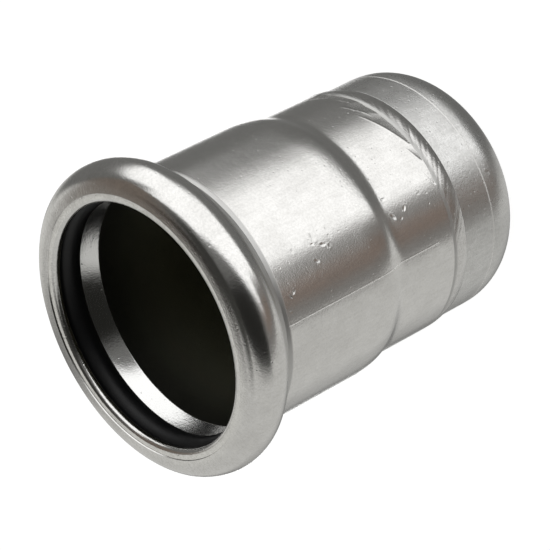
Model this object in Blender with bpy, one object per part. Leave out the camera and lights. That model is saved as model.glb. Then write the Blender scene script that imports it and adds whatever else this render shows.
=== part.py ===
"""Press-fit end cap for 28 mm stainless steel pipe, standing on its closed end with its mouth up.

Four pieces share one axis: the formed socket, the drawn cap, the weld that joins them and the seal ring.
Run with: blender --background --python part.py. Lengths are in metres, and +Z points out of the mouth.
"""

import math

import bmesh
import bpy
from mathutils import Vector

# Pipe that the socket takes, and the seal ring that grips it
PIPE_DIAMETER = 0.0280
SEAL_SECTION = 0.0030
SEAL_PINCH = 0.0001

# Room between neighbours
PIPE_CLEARANCE = 0.0002
SEAL_CLEARANCE = 0.0002
LIP_CLEARANCE = 0.00035
WELD_GAP = 0.0001

# Formed socket, from the mouth down
TUBE_WALL = 0.0014
LIP_THICKNESS = 0.0010
LIP_FACE_WIDTH = 0.0011
LIP_RECESS = 0.00012
LIP_EDGE_ROUND = 0.0003
BEAD_WALL = 0.0013
BEAD_FACE_WIDTH = 0.0007
BEAD_BACK_ROUND = 0.0033
NECK_FILLET = 0.0004
NECK_WIDTH = 0.0013
NECK_GROOVE_DEPTH = 0.00018
LEAD_IN_LENGTH = 0.0022
LEAD_IN_ROUND = 0.0012
INSERT_DEPTH = 0.02225
SHOULDER_CONVEX_LENGTH = 0.0023
SHOULDER_CONCAVE_LENGTH = 0.0016
SHOULDER_DROP = 0.0008
STOP_TUBE_LENGTH = 0.0074

# Weld between the stop tube and the cap
WELD_WIDTH = 0.0024
WELD_CROWN = 0.00016
WELD_ROOT = 0.00012
WELD_RIPPLE_HEIGHT = 0.00006
WELD_RIPPLE_SWEEP = math.radians(14.0)
WELD_RIPPLES = 48

# Drawn cap
CAP_STEP = 0.00035
CAP_WALL = 0.0014
CAP_STRAIGHT = 0.0051
CAP_CORNER_RADIUS = 0.0056
CAP_LEAST_INNER_CORNER = 0.0003

# How finely the round shapes are cut into facets
SEGMENTS = 60
SEGMENTS_PER_RIPPLE = 3
SEAL_SIDES = 12
BEAD_STEPS = 7
GROOVE_STEPS = 5
CORNER_STEPS = 8
SHOULDER_STEPS = 4
SMALL_ROUND_STEPS = 3
CROWN_STEPS = 6
SHARP_ANGLE = math.radians(35.0)
MERGE_DISTANCE = 0.000001

# Radii that follow from the pipe
PIPE_RADIUS = PIPE_DIAMETER / 2
BORE_RADIUS = PIPE_RADIUS + PIPE_CLEARANCE
LIP_RADIUS = PIPE_RADIUS + LIP_CLEARANCE
SOCKET_RADIUS = BORE_RADIUS + TUBE_WALL
NECK_RADIUS = SOCKET_RADIUS - NECK_GROOVE_DEPTH
STOP_RADIUS = SOCKET_RADIUS - SHOULDER_DROP
CAP_RADIUS = STOP_RADIUS - CAP_STEP
SEAL_RADIUS = PIPE_RADIUS - SEAL_PINCH + SEAL_SECTION / 2
LIP_FACE_RADIUS = LIP_RADIUS + LIP_FACE_WIDTH
GROOVE_ROUND = SEAL_SECTION / 2 + SEAL_CLEARANCE
BEAD_RADIUS = SEAL_RADIUS + GROOVE_ROUND + BEAD_WALL
BEAD_FACE_RADIUS = SEAL_RADIUS + BEAD_FACE_WIDTH

# Heights above the closed end's outer face
CAP_RIM_Z = CAP_CORNER_RADIUS + CAP_STRAIGHT
TUBE_END_Z = CAP_RIM_Z + WELD_WIDTH
SHOULDER_BOTTOM_Z = TUBE_END_Z + STOP_TUBE_LENGTH
SHOULDER_TOP_Z = SHOULDER_BOTTOM_Z + SHOULDER_CONCAVE_LENGTH + SHOULDER_CONVEX_LENGTH
MOUTH_Z = SHOULDER_TOP_Z + INSERT_DEPTH
LIP_FACE_Z = MOUTH_Z - LIP_RECESS
SEAL_Z = LIP_FACE_Z - LIP_THICKNESS - GROOVE_ROUND
GROOVE_BACK_Z = SEAL_Z - GROOVE_ROUND
BEAD_BACK_Z = SEAL_Z - BEAD_BACK_ROUND
NECK_END_Z = BEAD_BACK_Z - NECK_WIDTH
LEAD_IN_END_Z = GROOVE_BACK_Z - LEAD_IN_LENGTH


def clear_scene():
    """Removes every object, so that the file holds only this fitting."""
    for obj in list(bpy.data.objects):
        bpy.data.objects.remove(obj)


def make_material(name, colour, metallic, roughness):
    """A Principled material of one plain finish."""
    material = bpy.data.materials.new(name)
    material.use_nodes = True
    shader = material.node_tree.nodes["Principled BSDF"]
    shader.inputs["Base Color"].default_value = (*colour, 1.0)
    shader.inputs["Metallic"].default_value = metallic
    shader.inputs["Roughness"].default_value = roughness
    material.diffuse_color = (*colour, 1.0)
    return material


def arc(centre, radii, start, end, steps):
    """Points (radius, height) on an arc about centre, from angle start to end, 0 pointing away from the axis."""
    points = []
    for step in range(steps + 1):
        angle = start + (end - start) * step / steps
        points.append((
            centre[0] + radii[0] * math.cos(angle),
            centre[1] + radii[1] * math.sin(angle),
        ))
    return points


def rounded_corner(before, corner, after, radius, steps):
    """Points of the round that replaces the corner between two straight runs of a profile."""
    to_before = (Vector(before) - Vector(corner)).normalized()
    to_after = (Vector(after) - Vector(corner)).normalized()
    half_angle = to_before.angle(to_after) / 2
    middle = Vector(corner) + (to_before + to_after).normalized() * radius / math.sin(half_angle)
    first = (Vector(corner) + to_before * radius / math.tan(half_angle) - middle).normalized()
    last = (Vector(corner) + to_after * radius / math.tan(half_angle) - middle).normalized()
    return [tuple(middle + radius * first.slerp(last, step / steps)) for step in range(steps + 1)]


def shoulder(outer_radius, offset):
    """The shoulder's slope from the socket down to the stop tube, moved in from the outer surface by offset.

    Two arcs that turn through the same angle meet there, so the slope leaves both tubes without a crease.
    """
    length = SHOULDER_CONVEX_LENGTH + SHOULDER_CONCAVE_LENGTH
    turn = 2 * math.atan(SHOULDER_DROP / length)
    convex = SHOULDER_CONVEX_LENGTH / math.sin(turn)
    concave = SHOULDER_CONCAVE_LENGTH / math.sin(turn)
    upper_centre = (outer_radius - convex, SHOULDER_TOP_Z)
    lower_centre = (outer_radius - SHOULDER_DROP + concave, SHOULDER_BOTTOM_Z)
    upper = arc(upper_centre, (convex - offset,) * 2, 0.0, -turn, SHOULDER_STEPS)
    lower = arc(lower_centre, (concave + offset,) * 2, math.pi - turn, math.pi, SHOULDER_STEPS)
    return upper + lower[1:]


def socket_outside():
    """Outer side of the socket, from the lip's face over the bead and down to the weld."""
    # The sheet's cut face lies a little behind the bead's front face, with a small step between them
    lip_face_step = [(LIP_FACE_RADIUS, LIP_FACE_Z), (LIP_FACE_RADIUS + LIP_RECESS / 2, MOUTH_Z)]
    front_size = (BEAD_RADIUS - BEAD_FACE_RADIUS, MOUTH_Z - SEAL_Z)
    bead_front = arc((BEAD_FACE_RADIUS, SEAL_Z), front_size, math.pi / 2, 0.0, BEAD_STEPS)
    # The fillet touches the bead's back and the neck, and its centre lies over the neck's surface
    back_centre = (BEAD_RADIUS - BEAD_BACK_ROUND, SEAL_Z)
    fillet_rise = NECK_RADIUS + NECK_FILLET - back_centre[0]
    fillet_reach = BEAD_BACK_ROUND + NECK_FILLET
    fillet_drop = math.sqrt(fillet_reach ** 2 - fillet_rise ** 2)
    touch = math.atan2(-fillet_drop, fillet_rise)
    bead_back = arc(back_centre, (BEAD_BACK_ROUND,) * 2, 0.0, touch, BEAD_STEPS)
    fillet_centre = (back_centre[0] + fillet_rise, SEAL_Z - fillet_drop)
    fillet = arc(fillet_centre, (NECK_FILLET,) * 2, touch + math.pi, math.pi, SMALL_ROUND_STEPS)
    neck_rise = [
        (NECK_RADIUS, NECK_END_Z + 2 * NECK_GROOVE_DEPTH),
        (SOCKET_RADIUS, NECK_END_Z),
    ]
    bead = lip_face_step + bead_front + bead_back[1:]
    slope = shoulder(SOCKET_RADIUS, 0.0)
    return bead + fillet[1:] + neck_rise + slope + [(STOP_RADIUS, TUBE_END_Z)]


def socket_inside():
    """Inner side of the socket, from the weld up through the bore, the lead-in and the seal's groove to the lip."""
    slope = shoulder(SOCKET_RADIUS, TUBE_WALL)[::-1]
    lead_in_top = (SEAL_RADIUS, GROOVE_BACK_Z)
    lead_in = rounded_corner(
        slope[-1], (BORE_RADIUS, LEAD_IN_END_Z), lead_in_top, LEAD_IN_ROUND, SMALL_ROUND_STEPS
    )
    groove = arc((SEAL_RADIUS, SEAL_Z), (GROOVE_ROUND,) * 2, -math.pi / 2, math.pi / 2, 2 * GROOVE_STEPS)
    lip_back = (LIP_RADIUS, LIP_FACE_Z - LIP_THICKNESS)
    lip_front = (LIP_RADIUS, LIP_FACE_Z)
    lip_face_edge = (LIP_FACE_RADIUS, LIP_FACE_Z)
    lip_inner_edge = rounded_corner(groove[-1], lip_back, lip_front, LIP_EDGE_ROUND, SMALL_ROUND_STEPS)
    lip_outer_edge = rounded_corner(
        lip_back, lip_front, lip_face_edge, LIP_EDGE_ROUND, SMALL_ROUND_STEPS
    )
    return [(STOP_RADIUS - TUBE_WALL, TUBE_END_Z)] + slope + lead_in + groove + lip_inner_edge + lip_outer_edge


def cap_profile():
    """The cap's section: down the outside to the axis, then back up the inside to the rim."""
    corner_centre = (CAP_RADIUS - CAP_CORNER_RADIUS, CAP_CORNER_RADIUS)
    outer = arc(corner_centre, (CAP_CORNER_RADIUS,) * 2, 0.0, -math.pi / 2, CORNER_STEPS)
    inner_round = max(CAP_CORNER_RADIUS - CAP_WALL, CAP_LEAST_INNER_CORNER)
    inner_wall = CAP_RADIUS - CAP_WALL
    inner_centre = (inner_wall - inner_round, CAP_WALL + inner_round)
    inner = arc(inner_centre, (inner_round,) * 2, -math.pi / 2, 0.0, CORNER_STEPS)
    return (
        [(CAP_RADIUS, CAP_RIM_Z)] + outer + [(0.0, 0.0), (0.0, CAP_WALL)] + inner + [(inner_wall, CAP_RIM_Z)]
    )


def weld_profile():
    """The weld's section: a low crown outside that steps down to the cap, and a low root inside."""
    top = TUBE_END_Z - WELD_GAP
    bottom = CAP_RIM_Z + WELD_GAP
    root_top = STOP_RADIUS - TUBE_WALL
    root_bottom = CAP_RADIUS - CAP_WALL
    crown = []
    root = []
    for step in range(CROWN_STEPS + 1):
        along = step / CROWN_STEPS
        swell = math.sin(math.pi * along)
        height = top + (bottom - top) * along
        crown.append((STOP_RADIUS + (CAP_RADIUS - STOP_RADIUS) * along + WELD_CROWN * swell, height))
        if step % 2 == 0:
            root.append((root_top + (root_bottom - root_top) * along - WELD_ROOT * swell, height))
    return crown + root[::-1]


def seal_profile():
    """The seal ring's round section."""
    section = arc((SEAL_RADIUS, SEAL_Z), (SEAL_SECTION / 2,) * 2, 0.0, -2 * math.pi, SEAL_SIDES)
    return section[:-1]


def spin_profile(profile, segments):
    """A mesh turned about Z from a closed profile that runs down its outer side.

    A profile that reaches the axis gets no edge along it, so the two faces there close at a point each.
    """
    bm = bmesh.new()
    verts = [bm.verts.new((radius, 0.0, height)) for radius, height in profile]
    pairs = zip(verts, verts[1:] + verts[:1])
    edges = [bm.edges.new(pair) for pair in pairs if max(pair[0].co.x, pair[1].co.x) > 0.0]
    bmesh.ops.spin(
        bm,
        geom=verts + edges,
        cent=(0.0, 0.0, 0.0),
        axis=(0.0, 0.0, 1.0),
        angle=2 * math.pi,
        steps=segments,
        use_merge=True,
    )
    bmesh.ops.remove_doubles(bm, verts=bm.verts, dist=MERGE_DISTANCE)
    bmesh.ops.recalc_face_normals(bm, faces=bm.faces)
    return bm


def ripple_weld(bm):
    """Raises slanted ripples on the weld's crown, as the moving weld pool leaves them. Its edges stay plain."""
    middle_z = (TUBE_END_Z + CAP_RIM_Z) / 2
    half_width = WELD_WIDTH / 2 - WELD_GAP
    inner_limit = CAP_RADIUS - CAP_WALL / 2
    for vert in bm.verts:
        radius = math.hypot(vert.co.x, vert.co.y)
        if radius < inner_limit:
            continue
        along = (vert.co.z - middle_z) / half_width
        angle = math.atan2(vert.co.y, vert.co.x) + WELD_RIPPLE_SWEEP * along
        fade = max(0.0, 1.0 - along * along)
        lift = WELD_RIPPLE_HEIGHT * fade * math.cos(WELD_RIPPLES * angle)
        scale = (radius + lift) / radius
        vert.co.x *= scale
        vert.co.y *= scale


def add_piece(name, bm, material):
    """Turns a finished bmesh into a named, smoothly shaded object."""
    mesh = bpy.data.meshes.new(name)
    bm.to_mesh(mesh)
    bm.free()
    mesh.shade_smooth()
    mesh.set_sharp_from_angle(angle=SHARP_ANGLE)
    mesh.materials.append(material)
    obj = bpy.data.objects.new(name, mesh)
    bpy.context.scene.collection.objects.link(obj)
    return obj


def main():
    clear_scene()
    satin_steel = make_material("satin_steel", (0.58, 0.57, 0.55), 1.0, 0.28)
    drawn_steel = make_material("drawn_steel", (0.52, 0.51, 0.49), 1.0, 0.38)
    weld_steel = make_material("weld_steel", (0.55, 0.54, 0.52), 1.0, 0.24)
    black_rubber = make_material("black_rubber", (0.02, 0.02, 0.022), 0.0, 0.45)

    socket = spin_profile(socket_outside() + socket_inside(), SEGMENTS)
    add_piece("press_socket", socket, satin_steel)
    add_piece("end_cap", spin_profile(cap_profile(), SEGMENTS), drawn_steel)
    weld = spin_profile(weld_profile(), WELD_RIPPLES * SEGMENTS_PER_RIPPLE)
    ripple_weld(weld)
    add_piece("weld_seam", weld, weld_steel)
    add_piece("seal_ring", spin_profile(seal_profile(), SEGMENTS), black_rubber)


main()
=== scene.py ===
# %% [markdown]
# # A press-fit end cap in satin stainless steel
#
# The real object is a short socket that closes off a 28 mm steel pipe. It is a formed tube with a rolled
# bead round its mouth, a black seal ring inside the bead, and a drawn cap welded on at the far end. The
# solid model fixes every size. This lesson gives it the surfaces of the photograph: polished bands, tool
# marks, small dents, a rippled weld and moulded rubber.

# %% Load the frame that holds the sizes
import math

import bmesh
import bpy
from mathutils import Matrix, Vector


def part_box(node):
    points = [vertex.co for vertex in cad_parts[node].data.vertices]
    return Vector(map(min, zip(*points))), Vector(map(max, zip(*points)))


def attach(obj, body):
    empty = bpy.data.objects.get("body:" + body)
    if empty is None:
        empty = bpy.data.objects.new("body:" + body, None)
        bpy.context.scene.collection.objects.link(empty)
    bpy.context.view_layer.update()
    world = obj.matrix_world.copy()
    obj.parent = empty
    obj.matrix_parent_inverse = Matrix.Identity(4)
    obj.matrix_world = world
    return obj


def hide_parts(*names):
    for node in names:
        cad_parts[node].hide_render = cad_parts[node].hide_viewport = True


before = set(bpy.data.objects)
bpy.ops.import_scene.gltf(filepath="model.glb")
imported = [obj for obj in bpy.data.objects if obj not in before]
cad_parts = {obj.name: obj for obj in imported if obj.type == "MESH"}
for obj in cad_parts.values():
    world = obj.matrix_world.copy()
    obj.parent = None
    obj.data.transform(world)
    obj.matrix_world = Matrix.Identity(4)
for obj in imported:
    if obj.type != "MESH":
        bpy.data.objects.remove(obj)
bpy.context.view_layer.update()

print("nodes in the frame:", sorted(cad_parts))

# %% [markdown]
# ## Sizes
#
# The frame's boxes give the height of the mouth, the radii of the bead and the cap, the weld's two edges
# and the section of the seal ring. The other sizes are those of the turned profile, in metres and
# degrees. Heights are measured from the closed end, which stands on the floor, and the mouth looks up
# along Z.

# %% Read the driving sizes and name the rest
MM = 0.001
TUBE_END_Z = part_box("press_socket")[0].z
MOUTH_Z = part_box("press_socket")[1].z
BEAD_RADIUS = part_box("press_socket")[1].x
CAP_RIM_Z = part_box("end_cap")[1].z
CAP_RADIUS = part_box("end_cap")[1].x
SEAL_Z = sum(corner.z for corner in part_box("seal_ring")) / 2
SEAL_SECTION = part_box("seal_ring")[1].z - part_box("seal_ring")[0].z

TUBE_WALL = 0.0014
BORE_RADIUS = 0.0142
LIP_RADIUS = 0.01435
LIP_FACE_WIDTH = 0.0011
LIP_RECESS = 0.00012
LIP_THICKNESS = 0.0010
LIP_EDGE_ROUND = 0.0003
LIP_FRONT_ROUND = 0.00055
BEAD_FACE_WIDTH = 0.0007
BEAD_BACK_ROUND = 0.0033
GROOVE_ROUND = 0.0017
NECK_FILLET = 0.0004
NECK_WIDTH = 0.0014
NECK_GROOVE_DEPTH = 0.0001
NECK_LEAN = 0.00022
LEAD_IN_LENGTH = 0.0020
LEAD_IN_ROUND = 0.00035
LEAD_IN_BOW = 0.0001
SHOULDER_DROP = 0.0008
SHOULDER_CONVEX_LENGTH = 0.0023
SHOULDER_CONCAVE_LENGTH = 0.0016
STOP_TUBE_LENGTH = 0.0074
CAP_CORNER_RADIUS = 0.0056

SOCKET_RADIUS = BORE_RADIUS + TUBE_WALL
STOP_RADIUS = SOCKET_RADIUS - SHOULDER_DROP
NECK_RADIUS = SOCKET_RADIUS - NECK_GROOVE_DEPTH + NECK_LEAN
SEAL_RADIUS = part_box("seal_ring")[1].x - SEAL_SECTION / 2
BEAD_FACE_RADIUS = SEAL_RADIUS + BEAD_FACE_WIDTH
LIP_FACE_RADIUS = LIP_RADIUS + LIP_FACE_WIDTH
LIP_FACE_Z = MOUTH_Z - LIP_RECESS
NECK_END_Z = SEAL_Z - BEAD_BACK_ROUND - NECK_WIDTH
GROOVE_BACK_Z = SEAL_Z - GROOVE_ROUND
LEAD_IN_END_Z = GROOVE_BACK_Z - LEAD_IN_LENGTH
SHOULDER_BOTTOM_Z = TUBE_END_Z + STOP_TUBE_LENGTH
SHOULDER_TOP_Z = SHOULDER_BOTTOM_Z + SHOULDER_CONCAVE_LENGTH + SHOULDER_CONVEX_LENGTH
STOP_WALL_MIDDLE = STOP_RADIUS - TUBE_WALL / 2
SCALLOP_TOP_Z = TUBE_END_Z + 2.6 * MM
CAP_RIDGE_Z = MOUTH_Z - 40.45 * MM
CAP_RIDGE_HALF_WIDTH = 0.12 * MM
SEAM_ANGLE = -116.8
SEAM_HALF_WIDTH = 0.08 * MM
SEAM_END_Z = MOUTH_Z - 31.4 * MM
print("height of the mouth in mm:", round(MOUTH_Z / MM, 2))
print("radius of the bead in mm:", round(BEAD_RADIUS / MM, 2))

# %% [markdown]
# ## The camera
#
# The photograph looks into the mouth at a slant, and the axis runs up to the right in it. The fitting
# here stands upright, so the camera looks down at it by that angle and is rolled until the axis lies as
# in the picture. Three values place it: how far it looks down, how far it is rolled, and where the centre
# of the mouth lies in front of it.

# %% Place the camera
PICTURE_SIZE = 550
FOCAL_PIXELS = 2800
SENSOR_WIDTH = 36.0
LOOK_DOWN = math.radians(36.171)
ROLL = math.radians(-117.394)
MOUTH_FROM_CAMERA = Vector((-0.014425, -0.005759, -0.300269))

camera_turn = Matrix.Rotation(math.radians(90.0) - LOOK_DOWN, 3, "X") @ Matrix.Rotation(ROLL, 3, "Z")
camera_place = Vector((0.0, 0.0, MOUTH_Z)) - camera_turn @ MOUTH_FROM_CAMERA
camera_data = bpy.data.cameras.new("product_camera")
camera_data.sensor_width = SENSOR_WIDTH
camera_data.lens = FOCAL_PIXELS * SENSOR_WIDTH / PICTURE_SIZE
camera_data.clip_start = 0.01
camera = bpy.data.objects.new("product_camera", camera_data)
camera.matrix_world = Matrix.Translation(camera_place) @ camera_turn.to_4x4()
bpy.context.scene.collection.objects.link(camera)
bpy.context.scene.camera = camera
print("camera at", [round(value, 4) for value in camera_place], "lens", round(camera_data.lens, 1), "mm")

# %% [markdown]
# ## Turned profiles
#
# Every piece of the fitting is round, so each one is an outline that is spun about the axis. The flat
# facets of the solid model would show as stripes in polished steel, so the outlines are drawn again with
# finer arcs.

# %% Helpers for drawing an outline
SLOPE_STEPS = 5


def arc(centre, radii, start, end, steps):
    """Points (radius, height) on an arc, with angle 0 pointing away from the axis."""
    angles = [start + (end - start) * step / steps for step in range(steps + 1)]
    return [(centre[0] + radii[0] * math.cos(a), centre[1] + radii[1] * math.sin(a)) for a in angles]


def straight(first, last, spacing):
    """Points from first to last, at most spacing apart, without the last one."""
    count = max(1, math.ceil(math.dist(first, last) / spacing))
    return [tuple(Vector(first).lerp(Vector(last), step / count)) for step in range(count)]


def rounded_corner(before, corner, after, radius, steps):
    """Points of the round that replaces the corner between two straight runs."""
    to_before = (Vector(before) - Vector(corner)).normalized()
    to_after = (Vector(after) - Vector(corner)).normalized()
    half_angle = to_before.angle(to_after) / 2
    middle = Vector(corner) + (to_before + to_after).normalized() * radius / math.sin(half_angle)
    first = (Vector(corner) + to_before * radius / math.tan(half_angle) - middle).normalized()
    last = (Vector(corner) + to_after * radius / math.tan(half_angle) - middle).normalized()
    return [tuple(middle + radius * first.slerp(last, step / steps)) for step in range(steps + 1)]


def shoulder(offset, steps):
    """The slope from socket to stop tube as two arcs of equal turn, moved in from the outside."""
    length = SHOULDER_CONVEX_LENGTH + SHOULDER_CONCAVE_LENGTH
    turn = 2 * math.atan(SHOULDER_DROP / length)
    convex = SHOULDER_CONVEX_LENGTH / math.sin(turn)
    concave = SHOULDER_CONCAVE_LENGTH / math.sin(turn)
    upper_centre = (SOCKET_RADIUS - convex, SHOULDER_TOP_Z)
    lower_centre = (STOP_RADIUS + concave, SHOULDER_BOTTOM_Z)
    upper = arc(upper_centre, (convex - offset,) * 2, 0.0, -turn, steps)
    lower = arc(lower_centre, (concave + offset,) * 2, math.pi - turn, math.pi, steps)
    return upper + lower[1:]


def pressed_slope(radius, top_z, slopes):
    """Points down a wall. Each row gives a depth in mm below top_z and the slope there in degrees."""
    points = [(radius, top_z)]
    for (depth, slope), (next_depth, next_slope) in zip(slopes, slopes[1:]):
        for step in range(SLOPE_STEPS):
            middle = slope + (next_slope - slope) * (step + 0.5) / SLOPE_STEPS
            drop = (next_depth - depth) * MM / SLOPE_STEPS
            radius -= drop * math.tan(math.radians(middle))
            points.append((radius, points[-1][1] - drop))
    return points


print("outline helpers ready")

# %% Helpers that turn an outline into an object
MERGE_DISTANCE = 0.0000005
SHARP_ANGLE = math.radians(32.0)


def spin_outline(outline, segments):
    """A closed outline turned about Z into a shell. Edges on the axis are left out, so the poles close."""
    bm = bmesh.new()
    verts = [bm.verts.new((radius, 0.0, height)) for radius, height in outline]
    pairs = zip(verts, verts[1:] + verts[:1])
    edges = [bm.edges.new(pair) for pair in pairs if max(pair[0].co.x, pair[1].co.x) > 0.0]
    bmesh.ops.spin(
        bm, geom=verts + edges, cent=(0.0, 0.0, 0.0), axis=(0.0, 0.0, 1.0),
        angle=2 * math.pi, steps=segments, use_merge=True,
    )
    bmesh.ops.remove_doubles(bm, verts=bm.verts, dist=MERGE_DISTANCE)
    bmesh.ops.recalc_face_normals(bm, faces=bm.faces)
    return bm


def finish_piece(name, bm, material, node):
    """Makes the object. It rides on the one body and replaces its node of the solid model."""
    mesh = bpy.data.meshes.new(name)
    bm.to_mesh(mesh)
    bm.free()
    mesh.shade_smooth()
    mesh.set_sharp_from_angle(angle=SHARP_ANGLE)
    mesh.materials.append(material)
    piece = bpy.data.objects.new(name, mesh)
    bpy.context.scene.collection.objects.link(piece)
    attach(piece, "root")
    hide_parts(node)
    triangles = sum(len(polygon.vertices) - 2 for polygon in mesh.polygons)
    print(name, "has", triangles, "triangles")


def turn_angle(co):
    """Angle round the axis, in degrees."""
    return math.degrees(math.atan2(co.y, co.x))


def angle_gap(first, second):
    """Smallest difference between two angles, in degrees."""
    return abs((first - second + 180.0) % 360.0 - 180.0)


print("modelling helpers ready")

# %% [markdown]
# ## Helpers for node trees
#
# Every finish here is a tree of shader nodes. A few short helpers take plain numbers or other nodes'
# sockets, so that a later step reads like a formula.

# %% Build the node helpers
def fill_input(tree, socket, value):
    """Links a socket to an input, or writes a number or a colour of three values into it."""
    if isinstance(value, bpy.types.NodeSocket):
        tree.links.new(value, socket)
    elif isinstance(value, tuple):
        socket.default_value = (*value, 1.0)
    else:
        socket.default_value = value


def math_node(tree, operation, *values):
    node = tree.nodes.new("ShaderNodeMath")
    node.operation = operation
    for socket, value in zip(node.inputs, values):
        fill_input(tree, socket, value)
    return node.outputs[0]


def fade_in(tree, value, low, high, start=0.0, end=1.0):
    """A mask that goes smoothly from start to end while the value goes from low to high."""
    node = tree.nodes.new("ShaderNodeMapRange")
    node.interpolation_type = "SMOOTHSTEP"
    for socket, number in zip(node.inputs, (value, low, high, start, end)):
        fill_input(tree, socket, number)
    return node.outputs["Result"]


def fade_out(tree, value, low, high):
    return fade_in(tree, value, low, high, 1.0, 0.0)


def noise(tree, vector, scale, detail, roughness, stretch=(1.0, 1.0, 1.0)):
    """Noise at that scale in features per metre, on coordinates stretched first."""
    mapping = tree.nodes.new("ShaderNodeMapping")
    mapping.inputs["Scale"].default_value = stretch
    tree.links.new(vector, mapping.inputs["Vector"])
    texture = tree.nodes.new("ShaderNodeTexNoise")
    for label, value in (("Scale", scale), ("Detail", detail), ("Roughness", roughness)):
        texture.inputs[label].default_value = value
    tree.links.new(mapping.outputs["Vector"], texture.inputs["Vector"])
    return texture.outputs["Fac"]


def mix_colour(tree, factor, first, second):
    """A colour between first and second. Each is a plain colour or a socket."""
    node = tree.nodes.new("ShaderNodeMix")
    node.data_type = "RGBA"
    tree.links.new(factor, node.inputs["Factor"])
    fill_input(tree, node.inputs["A"], first)
    fill_input(tree, node.inputs["B"], second)
    return node.outputs["Result"]


def bump_normal(tree, height, strength, distance):
    """The normal of a surface with that relief. Distance is how high in metres a height of 1 stands."""
    node = tree.nodes.new("ShaderNodeBump")
    node.inputs["Strength"].default_value = strength
    node.inputs["Distance"].default_value = distance
    tree.links.new(height, node.inputs["Height"])
    return node.outputs["Normal"]


def new_group(name, inputs, outputs):
    """An empty group that takes a vector and numbers, and puts out numbers. Returns it and its ends."""
    group = bpy.data.node_groups.new(name, "ShaderNodeTree")
    group.interface.new_socket(name="Vector", in_out="INPUT", socket_type="NodeSocketVector")
    for label in inputs:
        group.interface.new_socket(name=label, in_out="INPUT", socket_type="NodeSocketFloat")
    for label in outputs:
        group.interface.new_socket(name=label, in_out="OUTPUT", socket_type="NodeSocketFloat")
    return group, group.nodes.new("NodeGroupInput"), group.nodes.new("NodeGroupOutput")


def new_material(name):
    """A material with nodes. Returns it, its tree and its Principled node."""
    material = bpy.data.materials.new(name)
    material.use_nodes = True
    return material, material.node_tree, material.node_tree.nodes["Principled BSDF"]


print("node helpers ready")

# %% [markdown]
# ## Shared surface effects
#
# Stainless steel is never quite even. Drawing and tumbling leave faint streaks along the tube, clouds and
# specks where the pickling bit a little deeper, and a fine grain that softens the reflections. Here and
# there a small pit is left. These effects are one node group, so that each steel can use them at its own
# strength. It puts out masks for clouds, streaks and specks, and a height.

# %% Build the grain group
FINE_SHARE = 0.75
WIDE_SHARE = 0.8
PITS_PER_METRE = 1700.0
PIT_SIZE = 0.26
PIT_SHARE = 0.24
PIT_DEPTH = 1.1


def build_relief(group, vector):
    """A fine and a wide grain, with a pit sunk into some cells of a Voronoi texture."""
    fine = noise(group, vector, scale=5200.0, detail=2.0, roughness=0.6)
    wide = noise(group, vector, scale=800.0, detail=2.0, roughness=0.5)
    relief = math_node(group, "MULTIPLY", wide, WIDE_SHARE)
    relief = math_node(group, "MULTIPLY_ADD", fine, FINE_SHARE, relief)
    cells = group.nodes.new("ShaderNodeTexVoronoi")
    cells.inputs["Scale"].default_value = PITS_PER_METRE
    group.links.new(vector, cells.inputs["Vector"])
    bowl = fade_out(group, cells.outputs["Distance"], 0.0, PIT_SIZE)
    draw = group.nodes.new("ShaderNodeSeparateColor")
    group.links.new(cells.outputs["Color"], draw.inputs["Color"])
    chosen = math_node(group, "LESS_THAN", draw.outputs["Red"], PIT_SHARE)
    pits = math_node(group, "MULTIPLY", bowl, chosen)
    return math_node(group, "MULTIPLY_ADD", pits, -PIT_DEPTH, relief)


def build_grain():
    group, start, end = new_group("steel_grain", (), ("Cloud", "Streak", "Speck", "Height"))
    vector = start.outputs["Vector"]
    clouds = noise(group, vector, scale=300.0, detail=5.0, roughness=0.65)
    streaks = noise(group, vector, scale=2600.0, detail=3.0, roughness=0.6, stretch=(1.0, 1.0, 0.12))
    specks = noise(group, vector, scale=4200.0, detail=3.0, roughness=0.7)
    group.links.new(fade_in(group, clouds, 0.32, 0.68), end.inputs["Cloud"])
    group.links.new(fade_in(group, streaks, 0.3, 0.7), end.inputs["Streak"])
    group.links.new(fade_in(group, specks, 0.3, 0.72), end.inputs["Speck"])
    group.links.new(build_relief(group, vector), end.inputs["Height"])
    return group


STEEL_GRAIN = build_grain()
print("group", STEEL_GRAIN.name, "has", len(STEEL_GRAIN.nodes), "nodes")

# %% [markdown]
# ## Tool marks, painted shade and painted highlights
#
# A few places differ from the steel round them: the smooth lead-in, the dark and dull bore below it, the
# matt neck, the pale seam, the dressed scallops beside the weld, a pale ridge round the cap and the
# weld's dull edge beside the tube. The bore's dark colour is painted shade, darkest just below the
# lead-in. The darker colour of the neck and the bead's back is painted shade in the groove, and the pale
# colour of the seam and of the cap's ridge is a painted highlight along each raised line. They could be
# painted by hand, but the sizes already name what bounds them, so each one is a mask worked out from the
# place on the fitting.

# %% Read the place on the fitting
def read_place(tree, coordinates):
    """The place as named sockets: x and y across the axis, the height, and the radius from the axis."""
    parts = tree.nodes.new("ShaderNodeSeparateXYZ")
    tree.links.new(coordinates, parts.inputs["Vector"])
    x, y, height = parts.outputs
    squared = math_node(tree, "MULTIPLY_ADD", y, y, math_node(tree, "MULTIPLY", x, x))
    return {"x": x, "y": y, "height": height, "radius": math_node(tree, "SQRT", squared)}


def mask_below(tree, value, limit):
    return math_node(tree, "LESS_THAN", value, limit)


def mask_above(tree, value, limit):
    return math_node(tree, "GREATER_THAN", value, limit)


def where_all(tree, mask, *others):
    for other in others:
        mask = math_node(tree, "MULTIPLY", mask, other)
    return mask


def between(tree, value, low, high):
    return where_all(tree, mask_above(tree, value, low), mask_below(tree, value, high))


print("place helpers ready")

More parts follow.
